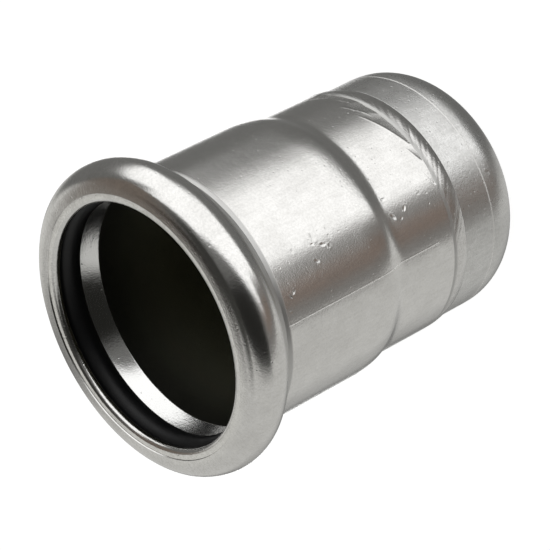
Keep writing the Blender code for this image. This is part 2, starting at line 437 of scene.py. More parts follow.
# %% Draw the masks of the socket
BORE_MARGIN = 0.3 * MM
BORE_FADE = 9.0 * MM
NECK_START = 0.25 * MM
NECK_FADE_START = 2.2 * MM
NECK_FADE_END = 3.6 * MM
NECK_CONE_SLOPE = 0.15
NECK_CONE_DROP = 0.25 * MM
CUT_START = 0.01 * MM
CUT_FULL = 0.05 * MM


def lead_in_mask(tree, place):
    inside = mask_below(tree, place["radius"], SEAL_RADIUS)
    return where_all(tree, inside, between(tree, place["height"], LEAD_IN_END_Z, GROOVE_BACK_Z))


# The bore's dark colour is painted shade inside the tube.
def bore_shade_mask(tree, place):
    inside = mask_below(tree, place["radius"], BORE_RADIUS + BORE_MARGIN)
    return where_all(tree, inside, mask_below(tree, place["height"], LEAD_IN_END_Z))


def deep_bore_shade_mask(tree, place):
    deep = fade_out(tree, place["height"], LEAD_IN_END_Z - BORE_FADE, LEAD_IN_END_Z)
    return where_all(tree, bore_shade_mask(tree, place), deep)


def neck_shade_mask(tree, place):
    """The neck and part of the bead's back, matt and darker with painted shade. A cone inside the wall
    keeps the mask off the inner side.
    """
    start = fade_in(tree, place["height"], NECK_END_Z - NECK_START, NECK_END_Z)
    end = fade_out(tree, place["height"], NECK_END_Z + NECK_FADE_START, NECK_END_Z + NECK_FADE_END)
    cone_start = SOCKET_RADIUS - NECK_CONE_DROP - NECK_CONE_SLOPE * NECK_END_Z
    cone = math_node(tree, "MULTIPLY_ADD", place["height"], NECK_CONE_SLOPE, cone_start)
    return where_all(tree, start, end, mask_above(tree, place["radius"], cone))


def seam_highlight_mask(tree, place):
    """A painted highlight along the seam, down the tube on the side that faces the seam's angle. In the
    barrel it shows inside too.
    """
    turn = math.radians(SEAM_ANGLE)
    aside = math_node(tree, "MULTIPLY", place["y"], math.cos(turn))
    aside = math_node(tree, "MULTIPLY_ADD", place["x"], -math.sin(turn), aside)
    facing = math_node(tree, "MULTIPLY", place["y"], math.sin(turn))
    facing = math_node(tree, "MULTIPLY_ADD", place["x"], math.cos(turn), facing)
    line = fade_out(tree, math_node(tree, "ABSOLUTE", aside), SEAM_HALF_WIDTH / 2, SEAM_HALF_WIDTH)
    side = mask_above(tree, facing, STOP_WALL_MIDDLE)
    return where_all(tree, line, side, between(tree, place["height"], SEAM_END_Z, NECK_END_Z))


def scallop_mask(tree, place):
    """The outside of the tube's end, wherever it is cut below its full radius."""
    cut = fade_out(tree, place["radius"], STOP_RADIUS - CUT_FULL, STOP_RADIUS - CUT_START)
    outside = mask_above(tree, place["radius"], STOP_WALL_MIDDLE)
    return where_all(tree, cut, outside, mask_below(tree, place["height"], SCALLOP_TOP_Z))


# mask, colour, and what it adds to the roughness
SOCKET_MARKS = (
    (lead_in_mask, (0.66, 0.655, 0.64), -0.04),
    # the bore's two colours are painted shade: very dark below the lead-in, less dark deep down
    (bore_shade_mask, (0.08, 0.08, 0.068), 0.35),
    (deep_bore_shade_mask, (0.40, 0.40, 0.31), 0.0),
    # the neck's darker colour is painted shade in its groove; the added roughness is its matt finish
    (neck_shade_mask, (0.46, 0.455, 0.44), 0.22),
    # the seam's pale colour is a painted highlight along the raised line
    (seam_highlight_mask, (0.95, 0.94, 0.92), 0.45),
    (scallop_mask, (0.62, 0.61, 0.59), 0.08),
)
print("socket marks:", len(SOCKET_MARKS))

# %% Draw the masks of the cap and the weld
RIDGE_CORE = 0.4
JOIN_START = 0.7 * MM
JOIN_FULL = 0.3 * MM


# The pale colour on the cap's ridge is a painted highlight.
def ridge_highlight_mask(tree, place):
    gap = math_node(tree, "ABSOLUTE", math_node(tree, "SUBTRACT", place["height"], CAP_RIDGE_Z))
    return fade_out(tree, gap, CAP_RIDGE_HALF_WIDTH * RIDGE_CORE, CAP_RIDGE_HALF_WIDTH)


def join_mask(tree, place):
    return fade_in(tree, place["height"], TUBE_END_Z - JOIN_START, TUBE_END_Z - JOIN_FULL)


# the ridge's pale colour is a painted highlight along the raised ridge
CAP_MARKS = ((ridge_highlight_mask, (0.78, 0.77, 0.75), 0.35),)
WELD_MARKS = ((join_mask, (0.42, 0.415, 0.40), 0.16),)
print("cap marks:", len(CAP_MARKS), "weld marks:", len(WELD_MARKS))

# %% [markdown]
# ## The steels
#
# The socket is bright and smooth, the cap a little duller and cloudier, and the weld metal has its own
# sheen. One function makes all three, because they differ only in colour, roughness, strength of grain
# and their marked places, which are tool marks, painted shade and painted highlights.

# %% Make the three steels
WEAR_SHARES = (("Cloud", 0.35), ("Streak", 0.2), ("Speck", 0.45))


def make_steel(name, light, dark, roughness, unevenness, bump, grain_height, marks):
    """Steel that wanders from light and smooth to dark and rough, with a tint at each of its marks. Some
    of those tints are painted shade or painted highlights.
    """
    material, tree, shader = new_material(name)
    shader.inputs["Metallic"].default_value = 1.0
    coordinates = tree.nodes.new("ShaderNodeTexCoord").outputs["Object"]
    grain = tree.nodes.new("ShaderNodeGroup")
    grain.node_tree = STEEL_GRAIN
    tree.links.new(coordinates, grain.inputs["Vector"])
    wear = 0.0
    for label, share in WEAR_SHARES:
        wear = math_node(tree, "MULTIPLY_ADD", grain.outputs[label], share, wear)
    colour = mix_colour(tree, wear, light, dark)
    rough = math_node(tree, "MULTIPLY_ADD", wear, unevenness, roughness)
    place = read_place(tree, coordinates)
    for draw_mask, tint, added in marks:
        mask = draw_mask(tree, place)
        colour = mix_colour(tree, mask, colour, tint)
        rough = math_node(tree, "MULTIPLY_ADD", mask, added, rough)
    tree.links.new(colour, shader.inputs["Base Color"])
    tree.links.new(rough, shader.inputs["Roughness"])
    normal = bump_normal(tree, grain.outputs["Height"], bump, grain_height)
    tree.links.new(normal, shader.inputs["Normal"])
    return material


satin_steel = make_steel(
    "satin_steel", light=(0.68, 0.67, 0.65), dark=(0.53, 0.52, 0.50), roughness=0.15, unevenness=0.08,
    bump=0.32, grain_height=0.00004, marks=SOCKET_MARKS,
)
drawn_steel = make_steel(
    "drawn_steel", light=(0.62, 0.615, 0.60), dark=(0.44, 0.435, 0.42), roughness=0.23, unevenness=0.13,
    bump=0.5, grain_height=0.00005, marks=CAP_MARKS,
)
weld_steel = make_steel(
    "weld_steel", light=(0.66, 0.65, 0.63), dark=(0.46, 0.45, 0.435), roughness=0.19, unevenness=0.08,
    bump=0.4, grain_height=0.00005, marks=WELD_MARKS,
)
print("steels:", satin_steel.name, drawn_steel.name, weld_steel.name)

# %% [markdown]
# ## The rubber
#
# The seal ring is smooth moulded rubber with a film of grease, so it is nearly black with a soft line of
# light along its crest. A little noise in the roughness keeps that line from looking like plastic.

# %% Make the rubber
RUBBER_DARK = (0.004, 0.004, 0.0045)
RUBBER_LIGHT = (0.009, 0.009, 0.0095)
RUBBER_ROUGHNESS = 0.36
RUBBER_UNEVENNESS = 0.18
RUBBER_SHINE = 0.28


def make_rubber():
    material, tree, shader = new_material("black_rubber")
    coordinates = tree.nodes.new("ShaderNodeTexCoord").outputs["Object"]
    patches = noise(tree, coordinates, scale=500.0, detail=3.0, roughness=0.6)
    pores = noise(tree, coordinates, scale=4200.0, detail=2.0, roughness=0.5)
    rough = math_node(tree, "MULTIPLY_ADD", patches, RUBBER_UNEVENNESS, RUBBER_ROUGHNESS)
    normal = bump_normal(tree, pores, strength=0.25, distance=0.00003)
    tree.links.new(mix_colour(tree, patches, RUBBER_DARK, RUBBER_LIGHT), shader.inputs["Base Color"])
    tree.links.new(rough, shader.inputs["Roughness"])
    tree.links.new(normal, shader.inputs["Normal"])
    shader.inputs["Specular IOR Level"].default_value = RUBBER_SHINE
    return material


black_rubber = make_rubber()
print("rubber:", black_rubber.name)

# %% [markdown]
# ## The formed socket
#
# This is the piece that takes the most skill on the real part. The tube's end is widened, rolled outwards
# into a bead and folded in again to a flat lip, so that a groove for the seal ring lies inside it. The
# outline could be a long list of points, but arcs say what the rolling tool did: the bead's face slopes
# away from the lip, its front and back are rounds, and a fillet leads into the neck.

# %% Draw the bead's outline
BEAD_STEPS = 20
FILLET_STEPS = 5
BEAD_FACE_STEPS = 10
BEAD_FACE_REACH = 1.8 * MM
BEAD_FACE_SLOPE = 0.105
BEAD_FACE_BEND = 0.0214


def bead_outside():
    """The lip's face, the bead's face, front and back, and the fillet above the neck."""
    face_start = LIP_FACE_RADIUS + LIP_RECESS / 2
    face = [(LIP_FACE_RADIUS, LIP_FACE_Z)]
    for step in range(BEAD_FACE_STEPS):
        across = BEAD_FACE_REACH * step / BEAD_FACE_STEPS
        drop = BEAD_FACE_SLOPE * across + BEAD_FACE_BEND * (across / MM) ** 4 * MM
        face.append((face_start + across, MOUTH_Z - drop))
    front_size = (BEAD_RADIUS - BEAD_FACE_RADIUS, MOUTH_Z - SEAL_Z)
    front_start = math.acos((face_start + BEAD_FACE_REACH - BEAD_FACE_RADIUS) / front_size[0])
    front = arc((BEAD_FACE_RADIUS, SEAL_Z), front_size, front_start, 0.0, BEAD_STEPS)
    back_centre = (BEAD_RADIUS - BEAD_BACK_ROUND, SEAL_Z)
    fillet_rise = NECK_RADIUS + NECK_FILLET - back_centre[0]
    fillet_drop = math.sqrt((BEAD_BACK_ROUND + NECK_FILLET) ** 2 - fillet_rise ** 2)
    touch = math.atan2(-fillet_drop, fillet_rise)
    back = arc(back_centre, (BEAD_BACK_ROUND,) * 2, 0.0, touch, BEAD_STEPS)
    fillet_centre = (back_centre[0] + fillet_rise, SEAL_Z - fillet_drop)
    fillet = arc(fillet_centre, (NECK_FILLET,) * 2, touch + math.pi, math.pi, FILLET_STEPS)
    return face + front + back[1:] + fillet[1:]


print("bead outline:", len(bead_outside()), "points")

# %% [markdown]
# Behind the bead the rolling tool leaves a narrow neck with fine rings, which ends in a small crest.
# Further down the tube steps in at the shoulder that stops the pipe. Its outside is steepest near the
# foot, so it follows a short table of slopes and not two arcs. Straight stretches get evenly spaced
# points, closest beside the weld, where the scallops will be cut.

# %% Draw the barrel's outline
CREST_STEPS = 3
BARREL_SPACING = 0.5 * MM
STOP_TUBE_SPACING = 0.4 * MM
SCALLOP_SPACING = 0.12 * MM
NECK_STEP = 0.42 * MM
NECK_CREST_ROUND = 0.25 * MM
# share of the way down the neck, and how far the surface stands out there
NECK_RINGS = ((0.25, 0.00002), (0.5, -0.00002), (0.75, 0.00002))
SHOULDER_START_Z = MOUTH_Z - 20.6 * MM
SHOULDER_SLOPES = ((0.0, 0.0), (1.6, 4.8), (2.6, 7.8), (3.8, 22.4), (5.3, 0.0))


def barrel_outside(neck_top):
    """The neck, the barrel, the shoulder and the stop tube, from the height neck_top down to the weld."""
    neck_foot = (SOCKET_RADIUS - NECK_GROOVE_DEPTH, NECK_END_Z + NECK_STEP)
    neck = [
        (NECK_RADIUS - NECK_LEAN * along + lift, neck_top + (neck_foot[1] - neck_top) * along)
        for along, lift in NECK_RINGS
    ]
    neck_end = (SOCKET_RADIUS, NECK_END_Z)
    below_neck = (SOCKET_RADIUS, SHOULDER_TOP_Z)
    crest = rounded_corner(neck_foot, neck_end, below_neck, NECK_CREST_ROUND, CREST_STEPS)
    slope = pressed_slope(SOCKET_RADIUS, SHOULDER_START_Z, SHOULDER_SLOPES)
    slope[-1] = (STOP_RADIUS, slope[-1][1])
    barrel = straight(crest[-1], slope[0], BARREL_SPACING)
    scallop_top = (STOP_RADIUS, SCALLOP_TOP_Z)
    tube_end = (STOP_RADIUS, TUBE_END_Z)
    stop_tube = straight(slope[-1], scallop_top, STOP_TUBE_SPACING)
    stop_tube += straight(scallop_top, tube_end, SCALLOP_SPACING)
    return neck + [neck_foot] + crest[:-1] + barrel + slope[:-1] + stop_tube + [tube_end]


print("barrel outline:", len(barrel_outside(SEAL_Z)), "points")

# %% [markdown]
# The inside runs back up from the weld: the shoulder, the bore, the lead-in that guides the pipe past the
# ring, the round groove and the lip, whose cut edge is rounded on both sides. Outside and inside together
# are one closed outline.

# %% Draw the inside and spin the socket
SOCKET_SEGMENTS = 360
SHOULDER_STEPS = 6
LEAD_IN_STEPS = 4
GROOVE_STEPS = 20
LIP_BACK_STEPS = 6
LIP_FRONT_STEPS = 8


def socket_inside():
    slope = shoulder(TUBE_WALL, SHOULDER_STEPS)[::-1]
    bore_end = (BORE_RADIUS, LEAD_IN_END_Z)
    middle = ((BORE_RADIUS + SEAL_RADIUS) / 2 + LEAD_IN_BOW, (LEAD_IN_END_Z + GROOVE_BACK_Z) / 2)
    lead_in = rounded_corner(slope[-1], bore_end, middle, LEAD_IN_ROUND, LEAD_IN_STEPS) + [middle]
    groove = arc((SEAL_RADIUS, SEAL_Z), (GROOVE_ROUND,) * 2, -math.pi / 2, math.pi / 2, GROOVE_STEPS)
    lip_back = (LIP_RADIUS, LIP_FACE_Z - LIP_THICKNESS)
    lip_front = (LIP_RADIUS, LIP_FACE_Z)
    lip_face_end = (LIP_FACE_RADIUS, LIP_FACE_Z)
    back_edge = rounded_corner(groove[-1], lip_back, lip_front, LIP_EDGE_ROUND, LIP_BACK_STEPS)
    front_edge = rounded_corner(lip_back, lip_front, lip_face_end, LIP_FRONT_ROUND, LIP_FRONT_STEPS)
    return [(STOP_RADIUS - TUBE_WALL, TUBE_END_Z)] + slope + lead_in + groove + back_edge + front_edge


bead_points = bead_outside()
socket_outline = bead_points + barrel_outside(bead_points[-1][1]) + socket_inside()
socket_bm = spin_outline(socket_outline, SOCKET_SEGMENTS)
print("socket outline spun into", len(socket_bm.faces), "faces")

# %% [markdown]
# A welded tube has a seam along its length. On the real fitting it shows as a hair-thin raised line from
# the neck down to the stop tube. Bump alone would leave the mesh plain, so three cuts with parallel
# planes give it edges along the line, and the middle edge is lifted. In the barrel the cuts take in the
# bore as well, because a weld goes right through the wall.

# %% Raise the tube's seam
SEAM_HEIGHT = 0.008 * MM
SEAM_REACH = 1.6


def past_wall_middle(co, low_z, high_z):
    """Whether a point lies past the middle of the stop tube's wall, between two heights."""
    return low_z < co.z < high_z and math.hypot(co.x, co.y) > STOP_WALL_MIDDLE


def beside_seam(co):
    """Whether a point of the tube lies within SEAM_REACH degrees of the seam."""
    gap = angle_gap(turn_angle(co), SEAM_ANGLE)
    return past_wall_middle(co, SEAM_END_Z, NECK_END_Z) and gap < SEAM_REACH


def raise_seam(bm):
    tangent_angle = math.radians(SEAM_ANGLE + 90.0)
    tangent = Vector((math.cos(tangent_angle), math.sin(tangent_angle), 0.0))
    for offset in (-SEAM_HALF_WIDTH, 0.0, SEAM_HALF_WIDTH):
        near = [face for face in bm.faces if beside_seam(face.calc_center_median())]
        parts = {part for face in near for part in [face, *face.edges, *face.verts]}
        bmesh.ops.bisect_plane(
            bm, geom=list(parts), dist=MERGE_DISTANCE, plane_co=tangent * offset, plane_no=tangent,
        )
    lifted = 0
    for vert in bm.verts:
        if beside_seam(vert.co) and abs(vert.co.dot(tangent)) < SEAM_HALF_WIDTH / 4:
            outward = Vector((vert.co.x, vert.co.y, 0.0)).normalized()
            vert.co += outward * SEAM_HEIGHT
            lifted += 1
    return lifted


print("seam points lifted:", raise_seam(socket_bm))

# %% [markdown]
# Beside the weld, a dressing tool has left overlapping scallops in the tube's end. Each one starts at a
# slanted line and slopes inwards from there to the weld, with a fine burr along the line. They could be
# sculpted, but a formula gives the depth of the cut at any place, and the weld needs the same sum, so
# that its edge follows the tube.

# %% Work out the scallops beside the weld
# first and last angle, then how many mm behind the mouth the line begins and ends, then the slope
SCALLOPS = (
    (-15, -40, 31.5, 32.9, 0.155),
    (-37, -53, 31.2, 32.9, 0.165),
    (-47.5, -72.5, 31.3, 33.35, 0.155),
    (-72, -81.5, 32.5, 33.35, 0.15),
    (-84, -93, 32.5, 33.3, 0.13),
)
SCALLOP_HOLLOW = 0.022
SCALLOP_BLEND = 7.0
BURR_HEIGHT = 0.016
BURR_WIDTH = 0.10
BURR_RISE = 3
BURR_END = 4


def scallop_cut(depth, angle):
    """How far in mm the scallops take the surface in, at a depth in mm and an angle in degrees."""
    deepest = 0.0
    burrs = 0.0
    for first_angle, last_angle, first_depth, last_depth, slope in SCALLOPS:
        along = (first_angle - angle) / (first_angle - last_angle)
        if not 0.0 < along < 1.0:
            continue
        run_in = min(1.0, (first_angle - angle) / SCALLOP_BLEND)
        past = depth - (first_depth + (last_depth - first_depth) * along)
        deepest = max(deepest, run_in * (slope - SCALLOP_HOLLOW * past) * past)
        ends = min(1.0, BURR_RISE * run_in, BURR_END * (1.0 - along))
        burrs += ends * math.exp(-((past + BURR_WIDTH) / BURR_WIDTH) ** 2)
    return deepest - BURR_HEIGHT * burrs


deepest_cut = max(scallop_cut((MOUTH_Z - TUBE_END_Z) / MM, -angle) for angle in range(95))
print("deepest cut at the weld in mm:", round(deepest_cut, 3))

# %% Cut the scallops
SCALLOP_REACH = (-95.0, -16.0)


def cut_scallops(bm):
    marked = [
        face for face in bm.faces
        if past_wall_middle(face.calc_center_median(), TUBE_END_Z, SCALLOP_TOP_Z)
        and SCALLOP_REACH[0] < turn_angle(face.calc_center_median()) < SCALLOP_REACH[1]
    ]
    edges = {edge for face in marked for edge in face.edges}
    bmesh.ops.subdivide_edges(bm, edges=list(edges), cuts=1, use_grid_fill=True)
    moved = 0
    for vert in bm.verts:
        if not past_wall_middle(vert.co, TUBE_END_Z - MERGE_DISTANCE, SCALLOP_TOP_Z + MERGE_DISTANCE):
            continue
        cut = scallop_cut((MOUTH_Z - vert.co.z) / MM, turn_angle(vert.co)) * MM
        shrink = (STOP_RADIUS - cut) / math.hypot(vert.co.x, vert.co.y)
        vert.co.x *= shrink
        vert.co.y *= shrink
        moved += cut != 0.0
    return moved


print("points moved by the scallops:", cut_scallops(socket_bm))

# %% [markdown]
# The photograph shows small knocks on the barrel and the stop tube, most of them less than a millimetre
# long. A knock is a shallow bowl with a raised rim. Bump would leave the mesh plain, so the mesh is
# divided more finely round each one, the new points go back onto the round surface, and a smooth curve
# pushes in every point near the centre.

# %% Press in the small knocks
# mm behind the mouth, angle round the axis, reach in mm, depth in mm, length over width, turn in degrees
KNOCKS = (
    (14.3, -89.2, 0.62, 0.042, 2.4, 70), (15.2, -93.6, 0.50, 0.050, 2.0, 20),
    (15.9, -94.8, 0.48, 0.042, 2.3, 110), (13.6, -98.4, 0.44, 0.038, 2.0, 40),
    (11.1, -90.6, 0.34, 0.020, 1.5, 95), (9.2, -105.0, 0.44, 0.048, 1.9, 140),
    (8.7, -106.2, 0.34, 0.036, 1.7, 60), (8.2, -111.6, 0.26, 0.020, 1.2, 0),
    (25.9, -88.6, 0.42, 0.028, 1.8, 10), (26.1, -97.2, 0.54, 0.050, 2.2, 60),
    (28.0, -96.0, 0.42, 0.044, 2.1, 120), (30.7, -93.2, 0.34, 0.022, 1.8, 0),
    (16.4, -89.0, 0.40, 0.024, 2.4, 85), (16.5, -91.5, 0.36, 0.026, 2.2, 30),
    (13.9, -91.6, 0.36, 0.030, 2.4, 0), (27.1, -99.4, 0.32, 0.026, 2.0, 150),
)
KNOCK_CUTS = 3
ON_SURFACE = 0.01 * MM
KNOCK_EDGE = 1.6
BOWL_SPREAD = 0.6
RIM_SHARE = 0.22
RIM_SPREAD = 0.25


def surface_point(behind, angle, radius):
    """A point on the outside, so many mm behind the mouth and at an angle in degrees."""
    turn = math.radians(angle)
    return Vector((radius * math.cos(turn), radius * math.sin(turn), MOUTH_Z - behind * MM))


def divide_near(bm, place, reach):
    """Divides the faces near a place, and puts the new points back on the round surface."""
    near = {face for vert in bm.verts if (vert.co - place).length < reach for face in vert.link_faces}
    edges = {edge for face in near for edge in face.edges}
    made = bmesh.ops.subdivide_edges(bm, edges=list(edges), cuts=KNOCK_CUTS, use_grid_fill=True)
    radius = math.hypot(place.x, place.y)
    for part in made["geom_inner"]:
        if isinstance(part, bmesh.types.BMVert):
            flat = math.hypot(part.co.x, part.co.y)
            if abs(flat - radius) < ON_SURFACE:
                part.co.x *= radius / flat
                part.co.y *= radius / flat


def press_knock(bm, place, reach, depth, stretch, turn):
    """A long bowl of that depth with a low rim, by moving points along the surface's own direction."""
    outward = Vector((place.x, place.y, 0.0)).normalized()
    sideways = Vector((-outward.y, outward.x, 0.0))
    turned = math.radians(turn)
    for vert in bm.verts:
        offset = vert.co - place
        if offset.length > KNOCK_EDGE * reach:
            continue
        across = offset.dot(sideways)
        along = across * math.sin(turned) + offset.z * math.cos(turned)
        aside = (across * math.cos(turned) - offset.z * math.sin(turned)) * stretch
        away = math.sqrt(along * along + aside * aside) / reach
        bowl = -math.exp(-(away / BOWL_SPREAD) ** 2)
        rim = RIM_SHARE * math.exp(-((away - 1.0) / RIM_SPREAD) ** 2)
        vert.co += outward * depth * (bowl + rim)


def knock_radius(behind):
    """The outside's radius so many mm behind the mouth, on the barrel or on the stop tube."""
    return SOCKET_RADIUS if MOUTH_Z - behind * MM > SHOULDER_TOP_Z else STOP_RADIUS


for behind, angle, reach, depth, stretch, turn in KNOCKS:
    spot = surface_point(behind, angle, knock_radius(behind))
    divide_near(socket_bm, spot, reach * MM)
    press_knock(socket_bm, spot, reach * MM, depth * MM, stretch, turn)
print("knocks pressed in:", len(KNOCKS))
finish_piece("formed_socket", socket_bm, satin_steel, "press_socket")

# %% [markdown]
# ## The drawn cap
#
# The cap is a cup pressed from sheet, with a rounded corner and a flat end. The press leaves a fine ridge
# round it just before the corner, with a shallow groove above the ridge, and one knock lies beside it. A
# bevelled cylinder would give the corner too, but an outline also gives the wall and the ridge.

# %% Make the cap
CAP_SEGMENTS = 360
CAP_WALL = 0.0014
CAP_RIDGE_HEIGHT = 0.014 * MM
CAP_RIM_BEVEL = 0.03 * MM
CAP_SPACING = 0.5 * MM
CAP_FLOOR_SPACING = 2.0 * MM
CAP_CORNER_STEPS = 28
CAP_INNER_STEPS = 12
# height over the ridge in half widths, and how far the surface stands out in ridge heights
CAP_RIDGE_SHAPE = ((2.5, 0.0), (1.8, 0.0), (1.0, -0.5), (0.0, 1.0), (-1.0, 0.0), (-1.5, 0.0))
# the six values as in KNOCKS
CAP_KNOCK = (41.4, -99.0, 0.45, 0.035, 1.8, 60.0)
CAP_KNOCK_DIVIDED = 0.8 * MM


def cap_outline():
    ridge = [
        (CAP_RADIUS + out * CAP_RIDGE_HEIGHT, CAP_RIDGE_Z + over * CAP_RIDGE_HALF_WIDTH)
        for over, out in CAP_RIDGE_SHAPE
    ]
    rim = [(CAP_RADIUS - CAP_RIM_BEVEL / 2, CAP_RIM_Z), (CAP_RADIUS, CAP_RIM_Z - CAP_RIM_BEVEL)]
    rim_end = (CAP_RADIUS, CAP_RIM_Z - 2 * CAP_RIM_BEVEL)
    side = rim + straight(rim_end, ridge[0], CAP_SPACING)
    corner_centre = (CAP_RADIUS - CAP_CORNER_RADIUS, CAP_CORNER_RADIUS)
    corner = arc(corner_centre, (CAP_CORNER_RADIUS,) * 2, 0.0, -math.pi / 2, CAP_CORNER_STEPS)
    floor = straight(corner[-1], (0.0, 0.0), CAP_FLOOR_SPACING)
    inner_round = CAP_CORNER_RADIUS - CAP_WALL
    inner_centre = (CAP_RADIUS - CAP_WALL - inner_round, CAP_WALL + inner_round)
    inner = arc(inner_centre, (inner_round,) * 2, -math.pi / 2, 0.0, CAP_INNER_STEPS)
    poles = [(0.0, 0.0), (0.0, CAP_WALL)]
    return side + ridge + corner[:-1] + floor + poles + inner + [(CAP_RADIUS - CAP_WALL, CAP_RIM_Z)]


cap_bm = spin_outline(cap_outline(), CAP_SEGMENTS)
behind, angle, reach, depth, stretch, turn = CAP_KNOCK
spot = surface_point(behind, angle, CAP_RADIUS)
divide_near(cap_bm, spot, CAP_KNOCK_DIVIDED)
press_knock(cap_bm, spot, reach * MM, depth * MM, stretch, turn)
finish_piece("drawn_cap", cap_bm, drawn_steel, "end_cap")

# %% [markdown]
# ## The weld
#
# The moving weld pool freezes in ripples, one behind the other, and their trails lie slanted and curved
# across the bead of metal. Noise would give lumps without that order, so the ring starts as a low crown
# between the tube's edge and the cap's rim, a little fuller towards the cap, and three waves that run
# round the ring, from broad to fine, lift its points. Their phase is bent across the width, so that the
# crests curve, and it wanders a little, so that no two ripples are alike. Beside the tube the weld goes
# down wherever a scallop has cut the tube's end.

# %% Work out the ripples
# ripples round the ring, height in mm, and how much their spacing wanders
RIPPLES = ((31, 0.026, 1.4), (79, 0.018, 2.5), (211, 0.0165, 4.0))
RIPPLE_LEAN = 5.0
RIPPLE_CURL = 1.2
RIPPLE_BASE = 0.6
# height, count round the ring, and start of each wave in the wandering
WANDER_WAVES = ((0.6, 5, 0.4), (0.5, 13, 1.3))
UNEVEN_SHARE = 0.3
UNEVEN_WAVES = 11
EDGE_POWER = 6


def ripple_lift(angle, across):
    """Lift in mm at an angle in degrees. Across runs from 0 at the cap to 2 at the tube."""
    bent = math.radians(angle + RIPPLE_LEAN * across + RIPPLE_CURL * across * across)
    wander = sum(height * math.sin(count * bent + start) for height, count, start in WANDER_WAVES)
    lift = 0.0
    for count, height, share in RIPPLES:
        strength = 1.0 - UNEVEN_SHARE + UNEVEN_SHARE * math.sin(UNEVEN_WAVES * bent + count)
        lift += height * strength * (abs(math.sin((count * bent + share * wander) / 2)) - RIPPLE_BASE)
    return lift * (1.0 - (across - 1.0) ** EDGE_POWER)


middle_lifts = [ripple_lift(angle, 1.0) for angle in range(360)]
print("ripples in mm:", round(min(middle_lifts), 3), "to", round(max(middle_lifts), 3))

# %% Make the weld
WELD_CROWN = 0.00011
WELD_ROOT = 0.00012
WELD_SKEW = 1.25
WELD_SEGMENTS = 1440
WELD_STEPS = 20
WELD_STEPS_PER_ROOT_STEP = 4
WELD_JOIN_WIDTH = 0.40


def weld_outline():
    """The crown outside and the low root inside, closed along the two welded edges."""
    crown = []
    root = []
    for step in range(WELD_STEPS + 1):
        along = step / WELD_STEPS
        swell = math.sin(math.pi * along ** WELD_SKEW)
        height = TUBE_END_Z + (CAP_RIM_Z - TUBE_END_Z) * along
        radius = STOP_RADIUS + (CAP_RADIUS - STOP_RADIUS) * along
        crown.append((radius + WELD_CROWN * swell, height))
        if step % WELD_STEPS_PER_ROOT_STEP == 0:
            root.append((radius - TUBE_WALL - WELD_ROOT * swell, height))
    return crown + root[::-1]


def ripple_weld(bm):
    width = TUBE_END_Z - CAP_RIM_Z
    tube_end = (MOUTH_Z - TUBE_END_Z) / MM
    for vert in bm.verts:
        flat = math.hypot(vert.co.x, vert.co.y)
        if flat < CAP_RADIUS - TUBE_WALL / 2:
            continue
        angle = turn_angle(vert.co)
        from_tube = (TUBE_END_Z - vert.co.z) / MM / WELD_JOIN_WIDTH
        join = max(0.0, 1.0 - from_tube) ** 2
        ripples = ripple_lift(angle, 2 * (vert.co.z - CAP_RIM_Z) / width)
        lift = ripples - join * scallop_cut(tube_end, angle)
        vert.co.x *= (flat + lift * MM) / flat
        vert.co.y *= (flat + lift * MM) / flat


weld_bm = spin_outline(weld_outline(), WELD_SEGMENTS)
ripple_weld(weld_bm)
finish_piece("rippled_weld", weld_bm, weld_steel, "weld_seam")

# %% [markdown]
# ## The seal ring
#
# The ring is a plain round section, spun about the pipe's axis. A torus would do as well, but the spin
# keeps all four pieces alike. It sits in the groove behind the lip, and its inner edge is a tenth of a
# millimetre closer to the axis than the pipe's surface, which is what seals.

# %% Make the seal ring
SEAL_STEPS = 40
SEAL_SEGMENTS = 240
seal_outline = arc((SEAL_RADIUS, SEAL_Z), (SEAL_SECTION / 2,) * 2, 0.0, -2 * math.pi, SEAL_STEPS)[:-1]
seal_bm = spin_outline(seal_outline, SEAL_SEGMENTS)
finish_piece("rubber_ring", seal_bm, black_rubber, "seal_ring")

# %% [markdown]
# ## The studio
#
# Polished metal shows what stands round it, so the light is most of its look. The steel in the photograph
# mirrors a white tent with one large window of light, a dark gap beside it and pale walls. Lamps and
# boards could stand round the fitting, but here the world paints them by direction: each soft panel has a
# centre, a half width and a half height in degrees, and two soft edges. Lean and tilt turn its sides and
# its top. Azimuth 0 looks along X and elevation 0 is level.

# %% Build the soft panel group
PANEL_LABELS = (
    "Azimuth", "Elevation", "Half Width", "Half Height", "Side Edge", "Top Edge", "Lean", "Tilt",
)


def panel_span(group, value, half, edge):
    """A mask that holds within half of the centre and fades over the soft edge."""
    inner = math_node(group, "SUBTRACT", half, edge)
    outer = math_node(group, "ADD", half, edge)
    return fade_out(group, math_node(group, "ABSOLUTE", value), inner, outer)


def build_panel():
    group, start, end = new_group("soft_panel", PANEL_LABELS, ("Mask",))
    given = start.outputs
    turn = group.nodes.new("ShaderNodeVectorRotate")
    turn.rotation_type = "Z_AXIS"
    group.links.new(given["Vector"], turn.inputs["Vector"])
    back = math_node(group, "MULTIPLY", given["Azimuth"], -math.radians(1.0))
    group.links.new(back, turn.inputs["Angle"])
    parts = group.nodes.new("ShaderNodeSeparateXYZ")
    group.links.new(turn.outputs["Vector"], parts.inputs["Vector"])
    side = math_node(group, "ARCTAN2", parts.outputs["Y"], parts.outputs["X"])
    side = math_node(group, "MULTIPLY", side, math.degrees(1.0))
    rise = math_node(group, "ARCSINE", parts.outputs["Z"])
    rise = math_node(group, "MULTIPLY", rise, math.degrees(1.0))
    rise = math_node(group, "SUBTRACT", rise, given["Elevation"])
    leaning = math_node(group, "SUBTRACT", side, math_node(group, "MULTIPLY", rise, given["Lean"]))
    tilted = math_node(group, "SUBTRACT", rise, math_node(group, "MULTIPLY", side, given["Tilt"]))
    across = panel_span(group, leaning, given["Half Width"], given["Side Edge"])
    upright = panel_span(group, tilted, given["Half Height"], given["Top Edge"])
    group.links.new(math_node(group, "MULTIPLY", across, upright), end.inputs["Mask"])
    return group


